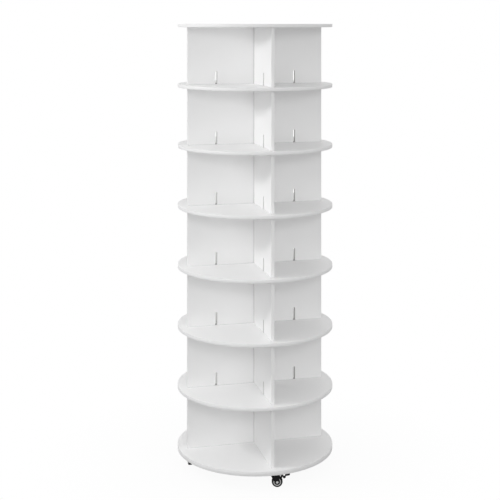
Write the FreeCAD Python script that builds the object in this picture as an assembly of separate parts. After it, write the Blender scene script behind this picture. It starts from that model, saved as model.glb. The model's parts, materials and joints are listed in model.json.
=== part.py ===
import FreeCAD, Part
import math
import os

Vector = FreeCAD.Vector

# A round shoe tower: discs stacked on crossed panels, turning on four braked swivel casters.
# Millimetres, +Z up. The origin is on the floor, on the tower's vertical axis. The arms of the
# crossed panels lie along X and Y, and a caster stands under the outer end of each arm.

# Boards
disc_diameter = 600.0
disc_thickness = 12.0            # top disc and shelf discs
base_thickness = 15.0            # the bottom disc carries the casters
tier_count = 7
tier_height = 220.0              # clear height between two discs
panel_thickness = 12.0
panel_setback = 32.0             # from a disc's rim to a panel's end
panel_edge_radius = 1.0          # eased upright edges at a panel's ends
lap_clearance = 0.25             # round the half lap of two crossed panels

# Tie screws hold each disc down on the panels below it. Their heads stand in slots at the foot of
# the panels above, which are tall enough for a hex key.
tie_radius = 156.0               # from the tower's axis
tie_shank_diameter = 5.0
tie_length = 45.0                # below the head
tie_head_diameter = 7.5
tie_head_height = 4.0
tie_slot_clearance = 0.25        # between a head and its slot
tie_slot_height = 50.0
tie_hole_clearance = 0.25        # between a shank and its disc
hex_key_size = 3.0               # across flats
hex_socket_depth = 2.5
cap_thickness = 1.0              # plugs over the screws in the top disc
cap_clearance = 0.05

# Foot screws come up through each disc into the panels that stand on it.
foot_screw_radius = 225.0        # from the tower's axis
foot_shank_diameter = 5.0
foot_length = 40.0               # from the disc's underside
foot_head_diameter = 9.0
foot_head_height = 2.5

# Caster plates and their screws
caster_setback = 45.0            # from the base disc's rim to a caster's swivel axis
plate_size = 42.0
plate_thickness = 2.0
plate_corner_radius = 5.0
plate_screw_spacing = 31.0
plate_screw_diameter = 3.5
plate_screw_length = 12.0        # below the head
plate_screw_head_diameter = 7.0
plate_screw_head_height = 2.2
plate_hole_clearance = 0.3
race_diameter = 20.0             # pressed hub in the middle of a plate, which the fork turns on
race_drop = 3.0                  # below the plate
rivet_recess_clearance = 1.5     # round the rivet's head, in the hub
kingpin_diameter = 7.0
kingpin_head_diameter = 13.0
kingpin_head_height = 2.0

# Swivel forks. Places along the fork are measured back from its swivel axis.
caster_trail = 19.0              # to the wheel's axle
swivel_gap = 0.3                 # between the fork and what it turns against
running_clearance = 0.05         # between a turning hole and its pin
crown_diameter = 30.0
crown_height = 7.5
crown_thickness = 2.0
crown_shoulder = 2.5             # bevel round the crown's top
fork_thickness = 1.5
fork_side_clearance = 1.2        # between a cheek and the tyre
cheek_front = -7.0               # ends of a cheek's top edge
cheek_back = 28.0
cheek_corner_radius = 3.0
axle_boss_radius = 7.5
ear_strip_drop = 4.5             # from the crown's top to the middle of the strip behind a cheek
ear_strip_radius = 3.0
ear_radius = 4.0                 # round the pedal's pin
axle_diameter = 5.0
rivet_head_diameter = 9.0
rivet_head_height = 1.6
rivet_head_bevel = 0.8

# Wheels
wheel_diameter = 40.0
wheel_headroom = 8.4             # between the tyre and the kingpin above it
tyre_thickness = 5.0
tyre_width = 17.0
tyre_bevel = 2.6
hub_width = 16.0
hub_end_clearance = 0.3          # between the hub's ends and the cheeks
hub_end_diameter = 10.0
hub_core_diameter = 16.6
hub_rim_thickness = 3.8
hub_recess_depth = 5.0
hub_rib_count = 6
hub_rib_thickness = 1.5
hub_rib_setback = 0.75           # from the hub's faces

# Brake pedals, seen across the wheel. Places are (back, up).
pedal_pivot = (17.0, 23.0)       # from the wheel's axle
pedal_pin_diameter = 4.0
pedal_pin_head_diameter = 7.0
pedal_pin_head_height = 1.2
pedal_side_clearance = 0.5       # between the pedal and the cheeks
barrel_radius = 3.2
shoe_length = 7.0                # from the pivot to the middle of the shoe's round tip
shoe_tip_radius = 1.5
shoe_root_radius = 2.4
pedal_thickness = 2.4
pedal_bend_place = (9.0, -4.0)   # middle of the hooked bend, from the pivot
pedal_bend_radius = 4.2          # on its centre line
tread_length = 15.0
tread_rise = 3.5                 # over the tread's length
tread_end_radius = 1.8
tread_corner_radius = 5.0
grip_rib_radius = 0.7
grip_rib_spacing = 3.2
grip_rib_count = 3

# Places worked out from the sizes above
disc_radius = disc_diameter / 2
panel_half_length = disc_radius - panel_setback
caster_radius = disc_radius - caster_setback
wheel_radius = wheel_diameter / 2
fork_gap = tyre_width + 2 * fork_side_clearance
fork_width = fork_gap + 2 * fork_thickness
kingpin_bottom = wheel_diameter + wheel_headroom
crown_roof = kingpin_bottom + kingpin_head_height + swivel_gap
crown_top = crown_roof + crown_thickness
race_bottom = crown_top + swivel_gap
plate_bottom = race_bottom + race_drop
caster_height = plate_bottom + plate_thickness
race_floor = race_bottom + plate_thickness
base_top = caster_height + base_thickness
tier_pitch = tier_height + disc_thickness
tier_floors = [base_top + tier * tier_pitch for tier in range(tier_count)]
total_height = tier_floors[-1] + tier_pitch
axle_place = (caster_trail, wheel_radius)
pivot = (caster_trail + pedal_pivot[0], wheel_radius + pedal_pivot[1])
arm_angles = (0, 90, 180, 270)

# Angles from +X: the arm that each caster stands under, and the way that its wheel trails at rest
caster_arms = {"front": -90, "right": 0, "back": 90, "left": 180}
caster_headings = {"front": -14, "right": 104, "back": 200, "left": 84}


def turned(outline):
    """Solid of revolution about the Z axis from (radius, height) corners."""
    corners = [Vector(radius, 0, height) for radius, height in outline]
    face = Part.Face(Part.makePolygon(corners + corners[:1]))
    return face.revolve(Vector(0, 0, 0), Vector(0, 0, 1), 360)


def turned_both_ways(half_outline):
    """Solid of revolution about the Z axis that is the same above and below z = 0."""
    lower_half = [(radius, -height) for radius, height in reversed(half_outline)]
    return turned(half_outline + lower_half)


def laid_on_axle(solid, place):
    """Turns a solid from the Z axis onto the Y axis and moves it to the place (x, z)."""
    laid = solid.copy()
    laid.rotate(Vector(0, 0, 0), Vector(1, 0, 0), 90)
    laid.translate(Vector(place[0], 0, place[1]))
    return laid


def pin(diameter, length, bottom=0.0):
    return Part.makeCylinder(diameter / 2, length, Vector(0, 0, bottom))


def cross_pin(diameter, length, place):
    """Cylinder along Y, centred on the place (x, z)."""
    return Part.makeCylinder(
        diameter / 2, length, Vector(place[0], -length / 2, place[1]), Vector(0, 1, 0)
    )


def centred_box(size_x, size_y, bottom, top):
    corner = Vector(-size_x / 2, -size_y / 2, bottom)
    return Part.makeBox(size_x, size_y, top - bottom, corner)


def hex_prism(across_flats, bottom, height):
    radius = across_flats / math.sqrt(3)
    turns = [math.radians(angle) for angle in range(0, 361, 60)]
    corners = [Vector(radius * math.cos(turn), radius * math.sin(turn), bottom) for turn in turns]
    return Part.Face(Part.makePolygon(corners)).extrude(Vector(0, 0, height))


def on_circle(centre, radius, angle):
    """Point in the XZ plane at an angle in degrees from +X towards +Z."""
    turn = math.radians(angle)
    return Vector(centre[0] + radius * math.cos(turn), 0, centre[1] + radius * math.sin(turn))


def arc(centre, radius, first, last):
    middle = (first + last) / 2
    ends = [on_circle(centre, radius, angle) for angle in (first, middle, last)]
    return Part.Arc(*ends).toShape()


def line(start, end):
    return Part.LineSegment(start, end).toShape()


def slab(edges, width):
    """Closed outline in the XZ plane, given a width along Y and centred on that plane."""
    plate = Part.Face(Part.Wire(edges)).extrude(Vector(0, width, 0))
    plate.translate(Vector(0, -width / 2, 0))
    return plate


def wrapped(circles, width):
    """Flat plate whose outline runs round (centre, radius) circles, listed anticlockwise."""
    laps = list(zip(circles, circles[1:] + circles[:1]))
    leaving = []
    for (centre, radius), (next_centre, next_radius) in laps:
        step_x = next_centre[0] - centre[0]
        step_z = next_centre[1] - centre[1]
        lean = math.acos((radius - next_radius) / math.hypot(step_x, step_z))
        leaving.append(math.degrees(math.atan2(step_z, step_x) - lean))
    edges = []
    for number, ((centre, radius), (next_centre, next_radius)) in enumerate(laps):
        first = leaving[number - 1]
        last = first + (leaving[number] - first) % 360
        edges.append(arc(centre, radius, first, last))
        edges.append(line(on_circle(centre, radius, last), on_circle(next_centre, next_radius, last)))
    return slab(edges, width)


def bent_strip(centre, radius, thickness, first, last, width):
    """Strip bent round a centre, with its centre line at the radius."""
    outer = radius + thickness / 2
    inner = radius - thickness / 2
    edges = [
        arc(centre, outer, first, last),
        line(on_circle(centre, outer, last), on_circle(centre, inner, last)),
        arc(centre, inner, last, first),
        line(on_circle(centre, inner, first), on_circle(centre, outer, first)),
    ]
    return slab(edges, width)


def round_the_arms(solid, radius):
    """A copy of the solid on each of the four arms, at a radius from the tower's axis."""
    copies = []
    for angle in arm_angles:
        copy = solid.copy()
        copy.translate(Vector(radius, 0, 0))
        copy.rotate(Vector(0, 0, 0), Vector(0, 0, 1), angle)
        copies.append(copy)
    return copies


def raised(solid, height):
    copy = solid.copy()
    copy.translate(Vector(0, 0, height))
    return copy


# Fasteners of the tower

def tie_screw():
    """Hex-socket screw with its head's seat at z = 0."""
    head = tie_head_diameter / 2
    shank = tie_shank_diameter / 2
    body = turned([
        (0, tie_head_height), (head, tie_head_height), (head, 0), (shank, 0),
        (shank, -tie_length), (0, -tie_length),
    ])
    return body.cut(hex_prism(hex_key_size, tie_head_height - hex_socket_depth, hex_socket_depth))


def foot_screw():
    """Countersunk screw that points up, with its head's face at z = 0."""
    head = foot_head_diameter / 2
    shank = foot_shank_diameter / 2
    body = turned([
        (0, 0), (head, 0), (shank, foot_head_height), (shank, foot_length), (0, foot_length),
    ])
    return body.cut(hex_prism(hex_key_size, 0, foot_head_height))


def tie_seats():
    """Heights of the faces that the tie screws' heads bear on, top disc last."""
    return tier_floors[1:] + [total_height - cap_thickness - tie_head_height]


def tie_screws():
    screw = tie_screw()
    return Part.makeCompound([
        copy for seat in tie_seats() for copy in round_the_arms(raised(screw, seat), tie_radius)
    ])


def foot_screws():
    screw = foot_screw()
    thicknesses = [base_thickness] + [disc_thickness] * (tier_count - 1)
    undersides = [floor - thickness for floor, thickness in zip(tier_floors, thicknesses)]
    return Part.makeCompound([
        copy
        for underside in undersides
        for copy in round_the_arms(raised(screw, underside), foot_screw_radius)
    ])


def screw_caps():
    cap = pin(tie_head_diameter, cap_thickness, total_height - cap_thickness)
    return Part.makeCompound(round_the_arms(cap, tie_radius))


# Boards

def plain_disc(thickness, bottom):
    return pin(disc_diameter, thickness, bottom)


def with_tie_holes(disc, bottom):
    hole = pin(tie_shank_diameter + 2 * tie_hole_clearance, disc_thickness, bottom)
    return disc.cut(Part.makeCompound(round_the_arms(hole, tie_radius)))


def with_foot_holes(disc, bottom, thickness):
    head = foot_head_diameter / 2
    shank = foot_shank_diameter / 2
    hole = turned([(0, 0), (head, 0), (shank, foot_head_height), (shank, thickness), (0, thickness)])
    return disc.cut(Part.makeCompound(round_the_arms(raised(hole, bottom), foot_screw_radius)))


def shelf_disc(floor):
    bottom = floor - disc_thickness
    disc = with_tie_holes(plain_disc(disc_thickness, bottom), bottom)
    return with_foot_holes(disc, bottom, disc_thickness)


def top_disc():
    bottom = total_height - disc_thickness
    disc = with_tie_holes(plain_disc(disc_thickness, bottom), bottom)
    depth = cap_thickness + tie_head_height
    counterbore = pin(tie_head_diameter + 2 * cap_clearance, depth, total_height - depth)
    return disc.cut(Part.makeCompound(round_the_arms(counterbore, tie_radius)))


def base_disc():
    disc = with_foot_holes(plain_disc(base_thickness, caster_height), caster_height, base_thickness)
    depth = plate_screw_length - plate_thickness
    pilots = Part.makeCompound(at_plate_screws(pin(plate_screw_diameter, depth, caster_height)))
    return disc.cut([placed(pilots, arm, arm) for arm in caster_arms.values()])


def tie_slot(floor):
    """Round-topped slot, open at the panel's foot, that clears a tie screw's head."""
    width = tie_head_diameter + 2 * tie_slot_clearance
    shoulder = floor + tie_slot_height - width / 2
    straight = centred_box(width, 2 * panel_thickness, floor, shoulder)
    return straight.fuse(cross_pin(width, 2 * panel_thickness, (0, shoulder)))


def panel(tier, lap_opens_up):
    """Panel along X. The panels of a tier cross in a half lap at mid-height."""
    floor = tier_floors[tier]
    top = floor + tier_height
    middle = (floor + top) / 2
    board = centred_box(2 * panel_half_length, panel_thickness, floor, top)
    upright_edges = [
        edge for edge in board.Edges if abs(edge.Vertexes[0].Z - edge.Vertexes[1].Z) > tier_height / 2
    ]
    board = board.makeFillet(panel_edge_radius, upright_edges)
    lap_width = panel_thickness + 2 * lap_clearance
    if lap_opens_up:
        cuts = [centred_box(lap_width, panel_thickness, middle - lap_clearance, top)]
    else:
        cuts = [centred_box(lap_width, panel_thickness, floor, middle + lap_clearance)]
    sides = (-1, 1)
    if tier > 0:
        slot = tie_slot(floor)
        cuts += [slot.translated(Vector(side * tie_radius, 0, 0)) for side in sides]
    tie_depth = tie_length - disc_thickness
    if tier == tier_count - 1:
        tie_depth += cap_thickness + tie_head_height
    foot_depth = foot_length - (disc_thickness if tier else base_thickness)
    tie_hole = pin(tie_shank_diameter, tie_depth, top - tie_depth)
    foot_hole = pin(foot_shank_diameter, foot_depth, floor)
    cuts += [tie_hole.translated(Vector(side * tie_radius, 0, 0)) for side in sides]
    cuts += [foot_hole.translated(Vector(side * foot_screw_radius, 0, 0)) for side in sides]
    return board.cut(Part.makeCompound(cuts))


def side_panel(tier):
    """Left-to-right panel, whose lap is open at the top."""
    return panel(tier, True)


def cross_panel(tier):
    """Front-to-back panel, which drops over the side panel."""
    board = panel(tier, False)
    board.rotate(Vector(0, 0, 0), Vector(0, 0, 1), 90)
    return board


# Casters. Each is drawn with its swivel axis on Z and its wheel trailing towards +X.

def placed(solid, arm, heading):
    """Turns a caster's solid to the heading and moves it out under its arm."""
    copy = solid.copy()
    copy.rotate(Vector(0, 0, 0), Vector(0, 0, 1), heading)
    turn = math.radians(arm)
    copy.translate(Vector(caster_radius * math.cos(turn), caster_radius * math.sin(turn), 0))
    return copy


def at_plate_screws(solid):
    offset = plate_screw_spacing / 2
    return [
        solid.translated(Vector(side_x * offset, side_y * offset, 0))
        for side_x in (-1, 1)
        for side_y in (-1, 1)
    ]


def caster_screw():
    """Pan-head screw that points up through the plate into the base disc."""
    head = plate_screw_head_diameter / 2
    shank = plate_screw_diameter / 2
    body = turned([
        (0, -plate_screw_head_height), (head, -plate_screw_head_height), (head, 0), (shank, 0),
        (shank, plate_screw_length), (0, plate_screw_length),
    ])
    return raised(body, plate_bottom)


def caster_screws():
    screws = at_plate_screws(caster_screw())
    return Part.makeCompound([
        placed(screw, arm, arm) for arm in caster_arms.values() for screw in screws
    ])


def mount_plate():
    """Square plate with a pressed hub that carries the rivet and stands off the fork."""
    plate = centred_box(plate_size, plate_size, plate_bottom, caster_height)
    corners = [
        edge for edge in plate.Edges if abs(edge.Vertexes[0].Z - edge.Vertexes[1].Z) > plate_thickness / 2
    ]
    plate = plate.makeFillet(plate_corner_radius, corners)
    plate = plate.fuse(pin(race_diameter, race_drop, race_bottom))
    recess = kingpin_head_diameter + 2 * rivet_recess_clearance
    hole = plate_screw_diameter + 2 * plate_hole_clearance
    cuts = [
        pin(recess, caster_height - race_floor, race_floor),
        pin(kingpin_diameter, plate_thickness, race_bottom),
    ]
    cuts += at_plate_screws(pin(hole, plate_thickness, plate_bottom))
    return plate.cut(Part.makeCompound(cuts))


def kingpin():
    """Rivet that holds the fork under the plate and lets it turn."""
    head = kingpin_head_diameter / 2
    shank = kingpin_diameter / 2
    lower_top = kingpin_bottom + kingpin_head_height
    return turned([
        (0, kingpin_bottom), (head, kingpin_bottom), (head, lower_top), (shank, lower_top),
        (shank, race_floor), (head, race_floor), (head, race_floor + kingpin_head_height),
        (0, race_floor + kingpin_head_height),
    ])


def fork():
    """Pressed fork: a round crown, and a bridge behind it that joins the two cheeks."""
    crown_bottom = crown_top - crown_height
    cheek_top = crown_top - crown_thickness / 2
    outer = crown_diameter / 2
    inner = outer - crown_thickness
    crown = turned([
        (0, crown_bottom), (outer, crown_bottom), (outer, crown_top - crown_shoulder),
        (outer - crown_shoulder, crown_top), (0, crown_top),
    ])
    bridge = Part.makeBox(
        cheek_back - cheek_corner_radius, fork_width, fork_thickness,
        Vector(0, -fork_width / 2, cheek_top - fork_thickness),
    )
    hollow = pin(2 * inner, crown_roof - crown_bottom, crown_bottom)
    bore = pin(kingpin_diameter + 2 * running_clearance, crown_height, crown_bottom)
    side = cheek(cheek_top)
    offset = (fork_gap + fork_thickness) / 2
    sides = [side.translated(Vector(0, y, 0)) for y in (-offset, offset)]
    solid = crown.fuse(bridge).cut([hollow, bore]).fuse(sides)
    holes = [
        cross_pin(axle_diameter, fork_width, axle_place),
        cross_pin(pedal_pin_diameter, fork_width, pivot),
    ]
    return solid.cut(Part.makeCompound(holes)).removeSplitter()


def cheek(top):
    """Flat side of the fork: it tapers from the crown to the axle, and a strip behind it runs back to
    an ear for the pedal's pin."""
    corner_height = top - cheek_corner_radius
    plate = wrapped([
        (axle_place, axle_boss_radius),
        ((cheek_back - cheek_corner_radius, corner_height), cheek_corner_radius),
        ((cheek_front + cheek_corner_radius, corner_height), cheek_corner_radius),
    ], fork_thickness)
    strip_height = crown_top - ear_strip_drop
    strip_end = ((pivot[0], strip_height), ear_strip_radius)
    strip = wrapped([((caster_trail, strip_height), ear_strip_radius), strip_end], fork_thickness)
    ear = wrapped([(pivot, ear_radius), strip_end], fork_thickness)
    return plate.fuse([strip, ear]).removeSplitter()


def cross_rivet(diameter, head_diameter, head_height, bevel, place):
    """Rivet across the fork, with a bevelled head outside each cheek."""
    half = fork_width / 2
    head = head_diameter / 2
    outline = [
        (0, half + head_height), (head - bevel, half + head_height), (head, half + head_height - bevel),
        (head, half), (diameter / 2, half),
    ]
    return laid_on_axle(turned_both_ways(outline), place)


def axle():
    return cross_rivet(
        axle_diameter, rivet_head_diameter, rivet_head_height, rivet_head_bevel, axle_place
    )


def pedal_pin():
    return cross_rivet(
        pedal_pin_diameter, pedal_pin_head_diameter, pedal_pin_head_height,
        pedal_pin_head_height / 2, pivot,
    )


def hub():
    """Moulded hub: a rim under the tyre, a core on the axle and ribs across the recess between them."""
    rim = wheel_radius - tyre_thickness
    rim_inside = rim - hub_rim_thickness
    core = hub_core_diameter / 2
    half = hub_width / 2
    web = half - hub_recess_depth
    end = fork_gap / 2 - hub_end_clearance
    bore = axle_diameter / 2 + running_clearance
    solid = turned_both_ways([
        (bore, end), (hub_end_diameter / 2, end), (hub_end_diameter / 2, half), (core, half),
        (core, web), (rim_inside, web), (rim_inside, half), (rim, half),
    ])
    rib_root = (bore + core) / 2
    rib_end = rim - hub_rim_thickness / 2
    for number in range(hub_rib_count):
        rib = Part.makeBox(
            rib_end - rib_root, hub_rib_thickness, hub_width - 2 * hub_rib_setback,
            Vector(rib_root, -hub_rib_thickness / 2, hub_rib_setback - half),
        )
        rib.rotate(Vector(0, 0, 0), Vector(0, 0, 1), number * 360 / hub_rib_count)
        solid = solid.fuse(rib)
    return laid_on_axle(solid.removeSplitter(), axle_place)


def tyre():
    inner = wheel_radius - tyre_thickness
    half = tyre_width / 2
    solid = turned_both_ways([
        (inner, half), (wheel_radius - tyre_bevel, half), (wheel_radius, half - tyre_bevel),
    ])
    return laid_on_axle(solid, axle_place)


def pedal():
    """Brake pedal: a barrel on the pin, a shoe above the tyre, a hooked bend and a ribbed tread."""
    width = fork_gap - 2 * pedal_side_clearance
    half_thickness = pedal_thickness / 2
    shoe_tip = (pivot[0], pivot[1] - shoe_length)
    bend_centre = (pivot[0] + pedal_bend_place[0], pivot[1] + pedal_bend_place[1])
    bend_start = (bend_centre[0] - pedal_bend_radius, bend_centre[1])
    bend_end = (bend_centre[0] + pedal_bend_radius, bend_centre[1])
    tread_start = (bend_end[0], pivot[1])
    tread_end = (tread_start[0] + tread_length, tread_start[1] + tread_rise)
    pieces = [
        wrapped([(pivot, shoe_root_radius), (shoe_tip, shoe_tip_radius)], width),
        wrapped([(pivot, half_thickness), (bend_start, half_thickness)], width),
        bent_strip(bend_centre, pedal_bend_radius, pedal_thickness, 180, 360, width),
        wrapped([(bend_end, half_thickness), (tread_start, half_thickness)], width),
        wrapped([(tread_start, half_thickness), (tread_end, tread_end_radius)], width),
    ]
    pieces += grip_ribs(tread_start, tread_end, width)
    solid = cross_pin(2 * barrel_radius, width, pivot).fuse(pieces)
    solid = solid.cut(cross_pin(pedal_pin_diameter + 2 * running_clearance, width, pivot))
    return solid.common(pedal_plan(tread_end[0] + tread_end_radius, width)).removeSplitter()


def grip_ribs(tread_start, tread_end, width):
    """Round ribs across the tread's upper face, counted back from its end."""
    length = math.hypot(tread_end[0] - tread_start[0], tread_end[1] - tread_start[1])
    along = ((tread_end[0] - tread_start[0]) / length, (tread_end[1] - tread_start[1]) / length)
    ribs = []
    for number in range(grip_rib_count):
        back = number * grip_rib_spacing
        radius_here = tread_end_radius + (pedal_thickness / 2 - tread_end_radius) * back / length
        centre = (tread_end[0] - along[0] * back, tread_end[1] - along[1] * back)
        place = (centre[0] - along[1] * radius_here, centre[1] + along[0] * radius_here)
        ribs.append(cross_pin(2 * grip_rib_radius, width, place))
    return ribs


def pedal_plan(outer_end, width):
    """Block whose plan view has the pedal's rounded outer corners."""
    inner_end = pivot[0] - barrel_radius - shoe_root_radius
    block = Part.makeBox(
        outer_end - inner_end, width, caster_height, Vector(inner_end, -width / 2, 0)
    )
    outer_corners = [
        edge
        for edge in block.Edges
        if edge.BoundBox.XMin > outer_end - barrel_radius and edge.BoundBox.ZLength > caster_height / 2
    ]
    return block.makeFillet(tread_corner_radius, outer_corners)


# Nodes

def nodes():
    """Every named piece of the tower with its shape."""
    yield "base_disc", base_disc()
    yield "top_disc", top_disc()
    for number, floor in enumerate(tier_floors[1:], start=1):
        yield f"shelf_disc_{number}", shelf_disc(floor)
    for tier in range(tier_count):
        yield f"tier_{tier + 1}_side_panel", side_panel(tier)
        yield f"tier_{tier + 1}_cross_panel", cross_panel(tier)
    yield "tie_screws", tie_screws()
    yield "foot_screws", foot_screws()
    yield "screw_caps", screw_caps()
    yield "caster_screws", caster_screws()
    fixed_pieces = {"mount_plate": mount_plate(), "kingpin": kingpin()}
    swivel_pieces = {
        "fork": fork(), "axle": axle(), "hub": hub(), "tyre": tyre(), "pedal_pin": pedal_pin(),
        "brake_pedal": pedal(),
    }
    for side, arm in caster_arms.items():
        for piece, shape in fixed_pieces.items():
            yield f"{side}_caster_{piece}", placed(shape, arm, arm)
        for piece, shape in swivel_pieces.items():
            yield f"{side}_caster_{piece}", placed(shape, arm, caster_headings[side])


os.makedirs("parts", exist_ok=True)
for name, shape in nodes():
    shape.exportStep(f"parts/{name}.step")
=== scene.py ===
import json
import math

import bpy
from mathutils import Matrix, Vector


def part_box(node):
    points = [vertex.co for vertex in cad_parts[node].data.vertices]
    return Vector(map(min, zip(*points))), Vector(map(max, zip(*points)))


# Looks of a round shoe tower: white laminated boards on four black swivel casters.
# Metres, +Z up. The tower's axis is the Z axis and its casters stand on z = 0.

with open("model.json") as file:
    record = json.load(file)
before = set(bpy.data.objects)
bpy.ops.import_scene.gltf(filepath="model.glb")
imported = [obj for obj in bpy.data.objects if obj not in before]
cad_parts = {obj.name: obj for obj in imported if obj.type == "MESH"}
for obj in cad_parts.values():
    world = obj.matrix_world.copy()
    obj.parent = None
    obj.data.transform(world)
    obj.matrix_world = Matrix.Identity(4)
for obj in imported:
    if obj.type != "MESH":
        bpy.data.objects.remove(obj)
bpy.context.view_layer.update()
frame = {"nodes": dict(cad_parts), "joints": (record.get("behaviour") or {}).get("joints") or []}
nodes = frame["nodes"]


def grey(level):
    return (level, level, level, 1.0)


def scaled(colour, factor):
    """The colour times a factor, still opaque."""
    return tuple(factor * part for part in colour[:3]) + (1.0,)


MILLIMETRE = 0.001
WHITE = grey(1.0)
SIDES = ("front", "right", "back", "left")
BOARDS = ("disc", "side_panel", "cross_panel")

# Places worked out from the frame
_, top_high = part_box("top_disc")
_, base_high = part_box("base_disc")
_, panel_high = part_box("tier_1_side_panel")
shelf_low, shelf_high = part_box("shelf_disc_1")
disc_radius = top_high.x
panel_half_length = panel_high.x
panel_half_thickness = panel_high.y
tier_floor = base_high.z
tier_clear = shelf_low.z - tier_floor
tier_pitch = shelf_high.z - tier_floor
tower_height = top_high.z

# Camera, level and a little above the top disc
CAMERA_DISTANCE = 4.35
CAMERA_ABOVE_TOP = 0.0075
CAMERA_TURN = math.radians(14.1)       # left of the front arm
LENS = 80.5
SHIFT_RIGHT = -0.0101                  # shares of the picture's width
SHIFT_UP = -0.456

# Light
AMBIENT = 0.66
LIGHTS = {                             # place, width and watts
    "key": ((-2.38, 0.0, 2.18), 0.30, 19.2),
    "front_lamp": ((-0.38, -4.33, 2.28), 0.5, 14.5),
    "left_softbox": ((-2.60, -1.50, 1.20), 2.0, 12.4),
    "front_softbox": ((0.0, -3.40, 1.20), 2.0, 11.0),
    "right_softbox": ((2.60, -1.50, 1.20), 2.0, 5.8),
}

# Floor
FLOOR_HALF = 30.0
FLOOR_WHITE = grey(0.86)
FLOOR_BOUNCE = grey(0.35)              # what the floor throws back up onto the tower
SHADOW_REACH = 0.9                     # from the tower's axis to where the floor is plain white
SHADOW_SHARE = 0.08                    # how much of the lit floor shows near the tower

# Laminated boards
# painted light: the discs' white sits above the panels' white of the same laminate, to light the
# disc tops
DISC_WHITE_PAINTED_LIGHTER = 0.96
PANEL_WHITE = 0.91
CLOUD_SIZE = 0.18
CLOUD_SHADE = 0.978                    # share of the white in the darker clouds
GRAIN_SIZE = 1.1 * MILLIMETRE
GRAIN_DEPTH = 0.02 * MILLIMETRE
FACE_ALONG = 0.5                       # a face's normal lies at least this far across the board
BAND_WHITE = grey(0.84)
BAND_THICKNESS = 1.0 * MILLIMETRE
GLUE_LINE = (0.62, 0.62, 0.61, 1.0)
GLUE_SHARE = 0.6
GLUE_WIDTH = 0.15 * MILLIMETRE
CUT_EDGE = (0.66, 0.66, 0.65, 1.0)
CUT_EDGE_CHIP = (0.50, 0.50, 0.49, 1.0)
CUT_EDGE_START = 2.0 * BAND_THICKNESS  # in from the banded edge
CHIP_SIZE = 1.6 * MILLIMETRE
CHIP_CONTRAST = 1.4
CHIP_HEIGHT = 4.0                      # times the grain's
JOINT_DUST_AND_SHADE = grey(0.30)
FOOT_LINE = 0.65 * MILLIMETRE          # painted shade and dust where a panel meets a disc
CROSSING_LINE = 1.4 * MILLIMETRE       # and where two panels cross
BOARD_IOR = 1.5
BOARD_ROUGHNESS = 0.40                 # of a plain face; the next four add to it
CLOUD_ROUGHNESS = 0.08
GRAIN_ROUGHNESS = 0.06
BAND_ROUGHNESS = 0.10
CUT_ROUGHNESS = 0.25

# Plated steel
MARK_SIZE = 0.25 * MILLIMETRE
MARK_DEPTH = 0.01 * MILLIMETRE
MARK_ROUGHNESS = 0.06
PATCH_SIZE = 2.5 * MILLIMETRE
PATCH_SHADE = 0.8                      # share of the colour in the dull patches
PATCH_ROUGHNESS = 0.12

# Black coats
BLACK_SHEEN = 0.10
PEEL_SIZE = 0.7 * MILLIMETRE
PEEL_DEPTH = 0.03 * MILLIMETRE
DUST_SIZE = 6.0 * MILLIMETRE
DUST_LIGHTER = 2.2                     # times the colour
DUST_SHARE = 0.5
DUST_ROUGHNESS = 0.15

# Plastic and rubber
TINT_SIZE = 8.0 * MILLIMETRE
TINT_ROUGHNESS = 0.1
SKIN_SIZE = 0.4 * MILLIMETRE
SKIN_ROUGHNESS = 0.06

# Hubs
HUB_GREY = grey(0.84)
HUB_SHADE = grey(0.78)
HUB_SHEEN = 0.3
HUB_SKIN_DEPTH = 0.012 * MILLIMETRE
HUB_ROUGHNESS = 0.40
HUB_PAINTED_SHADE = grey(0.03)
HUB_DARKENED_ROUGHNESS = 0.3
HUB_CORE_RADIUS = 8.3 * MILLIMETRE     # no painted shade from here in, and on the rim
HUB_RIM_INSIDE = 11.2 * MILLIMETRE
HUB_RIM_OUTSIDE = 13.6 * MILLIMETRE

# Softened edges
WELD_REACH = 0.002 * MILLIMETRE
SHARP_ANGLE = math.radians(35)
EDGE_SEGMENTS = 2
BOARD_EDGE = 0.5 * MILLIMETRE
SCREW_EDGE = 0.2 * MILLIMETRE
CAP_EDGE = 0.15 * MILLIMETRE
HUB_EDGE = 0.25 * MILLIMETRE
CASTER_LOOKS = {                       # finish and edge radius
    "mount_plate": ("coat", 0.3 * MILLIMETRE),
    "kingpin": ("rivets", 0.3 * MILLIMETRE),
    "fork": ("coat", 0.3 * MILLIMETRE),
    "axle": ("rivets", 0.25 * MILLIMETRE),
    "tyre": ("tyre", 1.0 * MILLIMETRE),
    "pedal_pin": ("coat", 0.2 * MILLIMETRE),
    "brake_pedal": ("pedal", 0.25 * MILLIMETRE),
}


# Shader building

class Value:
    """A number or colour that a material's nodes work out. Arithmetic on it adds Math nodes."""

    def __init__(self, finish, socket):
        self.finish = finish
        self.socket = socket

    def __add__(self, other):
        return self.finish.math("ADD", self, other)

    def __sub__(self, other):
        return self.finish.math("SUBTRACT", self, other)

    def __rsub__(self, other):
        return self.finish.math("SUBTRACT", other, self)

    def __mul__(self, other):
        return self.finish.math("MULTIPLY", self, other)

    def __truediv__(self, other):
        return self.finish.math("DIVIDE", self, other)

    def __abs__(self):
        return self.finish.math("ABSOLUTE", self)

    __radd__ = __add__
    __rmul__ = __mul__


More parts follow.
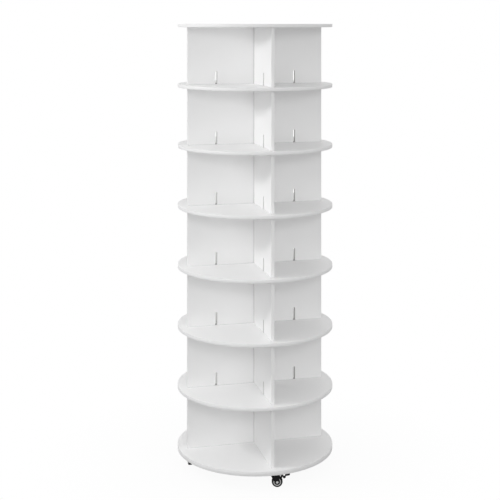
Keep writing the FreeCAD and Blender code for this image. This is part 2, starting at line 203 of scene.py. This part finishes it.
class Finish:
    """A node tree under construction, for a material or for the world."""

    def __init__(self, owner, output_kind):
        owner.use_nodes = True
        self.nodes = owner.node_tree.nodes
        self.links = owner.node_tree.links
        self.nodes.clear()
        self.output = self.nodes.new(output_kind)

    def node(self, kind, settings=None, sockets=None, output=0):
        """Adds a node: its settings first, then its sockets' values or links. Gives one output."""
        made = self.nodes.new("ShaderNode" + kind)
        for name, value in (settings or {}).items():
            setattr(made, name, value)
        for name, value in (sockets or {}).items():
            if isinstance(value, Value):
                self.links.new(value.socket, made.inputs[name])
            else:
                made.inputs[name].default_value = value
        return Value(self, made.outputs[output])

    def math(self, operation, *numbers):
        return self.node("Math", {"operation": operation}, dict(enumerate(numbers)))

    def clamp(self, number):
        return self.node("Clamp", sockets={"Value": number})

    def vector(self, operation, *vectors, output=0):
        return self.node("VectorMath", {"operation": operation}, dict(enumerate(vectors)), output)

    def length(self, vector):
        return self.vector("LENGTH", vector, output="Value")

    def axis(self, vector, letter):
        return self.node("SeparateXYZ", sockets={"Vector": vector}, output=letter)

    def place(self):
        """Position on the object, in metres in the tower's frame."""
        return self.node("TexCoord", output="Object")

    def noise(self, size, detail=2.0):
        """Noise from 0 to 1 whose patches are about the size, in metres."""
        sockets = {"Vector": self.place(), "Scale": 1.0 / size, "Detail": detail}
        return self.node("TexNoise", sockets=sockets)

    def cells(self, size):
        """Distance to the nearest of scattered points that lie about the size apart."""
        sockets = {"Vector": self.place(), "Scale": 1.0 / size}
        return self.node("TexVoronoi", {"feature": "F1"}, sockets)

    def near(self, number, target, width):
        """1 where the number is at the target, down to 0 at the width either side."""
        return self.clamp(1.0 - abs(number - target) / width)

    def blend(self, share, first, second):
        """Colour that goes from the first to the second as share goes from 0 to 1."""
        return self.node("Mix", {"data_type": "RGBA"}, {0: share, 6: first, 7: second}, 2)

    def bump(self, height, depth):
        sockets = {"Height": height, "Distance": depth, "Strength": 1.0}
        return self.node("Bump", sockets=sockets)

    def mix_shader(self, share, first, second):
        return self.node("MixShader", sockets={0: share, 1: first, 2: second})

    def show(self, shader):
        self.links.new(shader.socket, self.output.inputs["Surface"])


def new_finish(name):
    material = bpy.data.materials.new(name)
    return material, Finish(material, "ShaderNodeOutputMaterial")


# Finishes

def laminate(name, white, depth_from_end, face_axis, joints=None):
    """White melamine board: pressed faces, glued edge bands and sealed saw cuts.

    depth_from_end gives the distance in from the banded edge. face_axis is the axis across the
    board's thickness. joints is 1 along the lines where other boards meet this one.
    """
    material, f = new_finish(name)
    depth = depth_from_end(f)
    normal = f.node("TexCoord", output="Normal")
    is_edge = f.math("LESS_THAN", abs(f.axis(normal, face_axis)), FACE_ALONG)
    is_band = f.math("LESS_THAN", depth, BAND_THICKNESS)
    is_cut = is_edge * f.math("GREATER_THAN", depth, CUT_EDGE_START)
    glue = f.near(depth, BAND_THICKNESS, GLUE_WIDTH)
    cloud = f.noise(CLOUD_SIZE, detail=3.0)
    grain = f.noise(GRAIN_SIZE)
    chips = f.cells(CHIP_SIZE)
    colour = f.blend(cloud, grey(CLOUD_SHADE * white), grey(white))
    colour = f.blend(is_band, colour, BAND_WHITE)
    colour = f.blend(glue * GLUE_SHARE, colour, GLUE_LINE)
    cut_colour = f.blend(f.clamp(chips * CHIP_CONTRAST), CUT_EDGE_CHIP, CUT_EDGE)
    colour = f.blend(is_cut, colour, cut_colour)
    if joints:
        # painted shade and dust along the lines where other boards meet this one
        colour = f.blend(joints(f), colour, JOINT_DUST_AND_SHADE)
    roughness = BOARD_ROUGHNESS + CLOUD_ROUGHNESS * cloud + GRAIN_ROUGHNESS * grain
    roughness = roughness + BAND_ROUGHNESS * is_band + CUT_ROUGHNESS * is_cut
    height = grain * (1.0 - is_cut) + chips * is_cut * CHIP_HEIGHT
    f.show(f.node("BsdfPrincipled", sockets={
        "Base Color": colour,
        "Roughness": roughness,
        "Normal": f.bump(height, GRAIN_DEPTH),
        "IOR": BOARD_IOR,
    }))
    return material


def depth_in_disc(f):
    """Distance in from a disc's rim."""
    return disc_radius - f.length(f.vector("MULTIPLY", f.place(), (1.0, 1.0, 0.0)))


def depth_along(letter):
    """Distance in from the end of a panel that lies along an axis."""
    return lambda f: panel_half_length - abs(f.axis(f.place(), letter))


def panel_joints(letter):
    """Painted shade and dust lines at a panel's foot and top and down its crossing, for a panel
    along an axis.
    """
    def lines(f):
        height = f.math("MODULO", f.axis(f.place(), "Z") - tier_floor, tier_pitch)
        foot = f.near(height, 0.0, FOOT_LINE)
        top = f.near(height, tier_clear, FOOT_LINE)
        crossing = f.near(abs(f.axis(f.place(), letter)), panel_half_thickness, CROSSING_LINE)
        return f.clamp(foot + top + crossing)
    return lines


def zinc(name, colour, roughness):
    """Bright plated steel with fine turning marks and a few dull patches."""
    material, f = new_finish(name)
    marks = f.noise(MARK_SIZE, detail=3.0)
    patches = f.noise(PATCH_SIZE)
    f.show(f.node("BsdfPrincipled", sockets={
        "Base Color": f.blend(patches, colour, scaled(colour, PATCH_SHADE)),
        "Metallic": 1.0,
        "Roughness": roughness + PATCH_ROUGHNESS * patches + MARK_ROUGHNESS * marks,
        "Normal": f.bump(marks, MARK_DEPTH),
    }))
    return material


def black_coat(name, colour, roughness):
    """Black powder coat with a fine orange-peel skin and a little dust."""
    material, f = new_finish(name)
    peel = f.noise(PEEL_SIZE)
    dust = f.noise(DUST_SIZE, detail=4.0)
    f.show(f.node("BsdfPrincipled", sockets={
        "Base Color": f.blend(dust * DUST_SHARE, colour, scaled(colour, DUST_LIGHTER)),
        "Roughness": roughness + DUST_ROUGHNESS * dust,
        "Specular IOR Level": BLACK_SHEEN,
        "Normal": f.bump(peel, PEEL_DEPTH),
    }))
    return material


def spark_eroded(f, colour, roughness, sheen, skin_depth):
    """Surface of plastic or rubber from a mould with a fine skin."""
    skin = f.noise(SKIN_SIZE, detail=3.0)
    f.show(f.node("BsdfPrincipled", sockets={
        "Base Color": colour,
        "Roughness": roughness + SKIN_ROUGHNESS * skin,
        "Specular IOR Level": sheen,
        "Normal": f.bump(skin, skin_depth),
    }))


def moulded(name, colour, shade, roughness, sheen, skin_depth):
    """Moulded plastic or rubber whose tint changes slowly."""
    material, f = new_finish(name)
    tint = f.noise(TINT_SIZE, detail=3.0)
    tinted = f.blend(tint, colour, shade)
    spark_eroded(f, tinted, roughness + TINT_ROUGHNESS * tint, sheen, skin_depth)
    return material


def hub_nylon(side):
    """Pale hub, with painted shade inside its rim and where the tyre grips it."""
    roll = next(joint for joint in frame["joints"] if joint["name"] == f"{side}_wheel_roll")
    material, f = new_finish(f"{side}_hub_nylon")
    from_middle = f.vector("SUBTRACT", f.place(), roll["pos_m"])
    radius = f.length(f.vector("CROSS_PRODUCT", from_middle, roll["axis"]))
    in_core = f.math("LESS_THAN", radius, HUB_CORE_RADIUS)
    half_rim = (HUB_RIM_OUTSIDE - HUB_RIM_INSIDE) / 2
    on_rim = f.math("COMPARE", radius, HUB_RIM_INSIDE + half_rim, half_rim)
    # painted shade in the hub's recess and at its outer edge by the tyre
    painted_shade = 1.0 - f.math("MAXIMUM", in_core, on_rim)
    tint = f.noise(TINT_SIZE, detail=3.0)
    colour = f.blend(painted_shade, f.blend(tint, HUB_GREY, HUB_SHADE), HUB_PAINTED_SHADE)
    roughness = HUB_ROUGHNESS + TINT_ROUGHNESS * tint + HUB_DARKENED_ROUGHNESS * painted_shade
    spark_eroded(f, colour, roughness, HUB_SHEEN, HUB_SKIN_DEPTH)
    return material


def make_finishes():
    return {
        "disc": laminate("white_laminate_disc", DISC_WHITE_PAINTED_LIGHTER, depth_in_disc, "Z"),
        "side_panel": laminate(
            "white_laminate_side_panel", PANEL_WHITE, depth_along("X"), "Y", panel_joints("X")
        ),
        "cross_panel": laminate(
            "white_laminate_cross_panel", PANEL_WHITE, depth_along("Y"), "X", panel_joints("Y")
        ),
        "screws": zinc("zinc_plated_steel", grey(0.62), roughness=0.28),
        "rivets": zinc("bright_rivet_steel", grey(0.55), roughness=0.32),
        "caps": moulded(
            "white_cap_plastic", grey(0.88), shade=grey(0.86),
            roughness=0.38, sheen=0.5, skin_depth=0.008 * MILLIMETRE,
        ),
        "coat": black_coat("black_powder_coat", (0.006, 0.006, 0.0065, 1.0), roughness=0.36),
        "pedal": black_coat("black_pedal_enamel", (0.005, 0.005, 0.0055, 1.0), roughness=0.30),
        "tyre": moulded(
            "black_tyre_rubber", grey(0.006), shade=grey(0.011),
            roughness=0.60, sheen=BLACK_SHEEN, skin_depth=0.03 * MILLIMETRE,
        ),
    }


# Dressing the CAD nodes

def dress(node, material, edge_radius):
    """Gives a node its finish and softens its sharp edges."""
    piece = nodes[node]
    piece.data.materials.clear()
    piece.data.materials.append(material)
    weld = piece.modifiers.new("weld", "WELD")
    weld.merge_threshold = WELD_REACH
    bevel = piece.modifiers.new("soft_edges", "BEVEL")
    bevel.width = edge_radius
    bevel.segments = EDGE_SEGMENTS
    bevel.limit_method = "ANGLE"
    bevel.angle_limit = SHARP_ANGLE
    bevel.harden_normals = True


def dress_boards(finishes):
    for board in BOARDS:
        for node in nodes:
            if board in node:
                dress(node, finishes[board], BOARD_EDGE)


def dress_fasteners(finishes):
    for node in ("tie_screws", "foot_screws", "caster_screws"):
        dress(node, finishes["screws"], SCREW_EDGE)
    dress("screw_caps", finishes["caps"], CAP_EDGE)


def dress_casters(finishes):
    for side in SIDES:
        for piece, (finish, edge_radius) in CASTER_LOOKS.items():
            dress(f"{side}_caster_{piece}", finishes[finish], edge_radius)
        dress(f"{side}_caster_hub", hub_nylon(side), HUB_EDGE)


# Studio

def seen_directly(f):
    """1 for rays from the camera, from gloss or through glass, and 0 for the light itself."""
    kinds = ("Is Camera Ray", "Is Glossy Ray", "Is Transmission Ray")
    camera, glossy, transmitted = (f.node("LightPath", output=kind) for kind in kinds)
    return f.math("MAXIMUM", f.math("MAXIMUM", camera, glossy), transmitted)


def make_world():
    world = bpy.data.worlds.new("white_studio")
    f = Finish(world, "ShaderNodeOutputWorld")
    light = f.node("Background", sockets={"Color": WHITE, "Strength": AMBIENT})
    white = f.node("Background", sockets={"Color": WHITE, "Strength": 1.0})
    f.show(f.mix_shader(seen_directly(f), light, white))
    bpy.context.scene.world = world


def make_floor():
    """White floor that shows a trace of the tower's shadow and throws back little light."""
    quarters = ((-1, -1), (1, -1), (1, 1), (-1, 1))
    corners = [(x * FLOOR_HALF, y * FLOOR_HALF, 0.0) for x, y in quarters]
    mesh = bpy.data.meshes.new("floor")
    mesh.from_pydata(corners, [], [(0, 1, 2, 3)])
    floor = bpy.data.objects.new("floor", mesh)
    bpy.context.scene.collection.objects.link(floor)
    material, f = new_finish("white_floor")
    shown = f.clamp(1.0 - f.length(f.place()) / SHADOW_REACH) * SHADOW_SHARE
    lit = f.node("BsdfDiffuse", sockets={"Color": FLOOR_WHITE})
    white = f.node("Emission", sockets={"Color": WHITE, "Strength": 1.0})
    bounce = f.node("BsdfDiffuse", sockets={"Color": FLOOR_BOUNCE})
    f.show(f.mix_shader(seen_directly(f), bounce, f.mix_shader(shown, white, lit)))
    mesh.materials.append(material)


def make_lights():
    """Square lights, each turned to the middle of the tower."""
    middle = Vector((0.0, 0.0, tower_height / 2))
    for name, (place, width, watts) in LIGHTS.items():
        data = bpy.data.lights.new(name, "AREA")
        data.shape = "SQUARE"
        data.size = width
        data.energy = watts
        light = bpy.data.objects.new(name, data)
        light.location = place
        light.rotation_euler = (middle - Vector(place)).to_track_quat("-Z", "Y").to_euler()
        bpy.context.scene.collection.objects.link(light)


def make_camera():
    data = bpy.data.cameras.new("camera")
    data.lens = LENS
    data.shift_x = SHIFT_RIGHT
    data.shift_y = SHIFT_UP
    camera = bpy.data.objects.new("camera", data)
    back = Vector((-math.sin(CAMERA_TURN), -math.cos(CAMERA_TURN), 0.0))
    camera.location = back * CAMERA_DISTANCE + Vector((0.0, 0.0, tower_height + CAMERA_ABOVE_TOP))
    camera.rotation_euler = (math.pi / 2, 0.0, -CAMERA_TURN)
    bpy.context.scene.collection.objects.link(camera)
    bpy.context.scene.camera = camera


finishes = make_finishes()
dress_boards(finishes)
dress_fasteners(finishes)
dress_casters(finishes)
make_world()
make_floor()
make_lights()
make_camera()
bpy.context.scene.view_settings.view_transform = "Standard"
